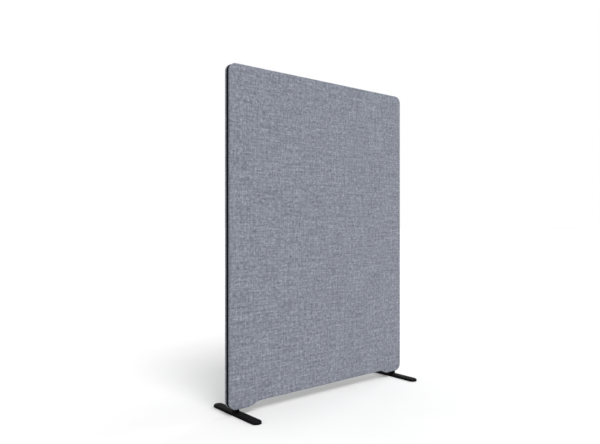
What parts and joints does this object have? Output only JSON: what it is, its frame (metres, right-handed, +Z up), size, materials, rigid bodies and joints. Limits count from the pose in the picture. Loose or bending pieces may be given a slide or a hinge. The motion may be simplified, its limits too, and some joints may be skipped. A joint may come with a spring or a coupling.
{
  "type": "partition wall",
  "caption": "Free-standing acoustic floor screen: two fabric halves on a black-edged core, raised bottom edge, and flat black bar feet.",
  "frame": {"origin": "on the floor, under the middle of the screen", "axes": "+X along the width, +Y through the thickness towards the back, +Z up; the front face looks along -Y"},
  "size_m": [1.2, 0.36, 1.643],
  "materials": {
    "cover_fabric": "blue-grey melange woven fabric",
    "pressed_felt": "pressed polyester felt",
    "fibreboard": "hard fibreboard",
    "plywood": "sanded plywood",
    "beech": "fluted beech dowel",
    "core_wadding": "loose polyester wadding slab",
    "bright_steel": "bright zinc",
    "clip_plastic": "natural nylon",
    "black_strip": "matt black edge strip",
    "black_powder_coat": "fine-textured black powder coat",
    "black_bolt": "blackened steel",
    "pad_rubber": "matt rubber"
  },
  "bodies": {
    "root": {"front_cover": "cover_fabric", "back_cover": "cover_fabric", "front_absorber": "pressed_felt", "back_absorber": "pressed_felt", "front_carrier_board": "fibreboard", "back_carrier_board": "fibreboard", "front_staples": "bright_steel", "back_staples": "bright_steel", "front_clips": "clip_plastic", "back_clips": "clip_plastic", "left_stile": "plywood", "right_stile": "plywood", "top_rail": "plywood", "middle_rail": "plywood", "bottom_rail": "plywood", "frame_dowels": "beech", "upper_infill": "core_wadding", "lower_infill": "core_wadding", "edge_strip_over": "black_strip", "edge_strip_under": "black_strip", "left_post": "bright_steel", "right_post": "bright_steel", "post_pins": "bright_steel", "left_spacer": "black_powder_coat", "right_spacer": "black_powder_coat", "left_foot_bar": "black_powder_coat", "right_foot_bar": "black_powder_coat", "foot_bolts": "black_bolt", "foot_pads": "pad_rubber"}
  },
  "joints": []
}
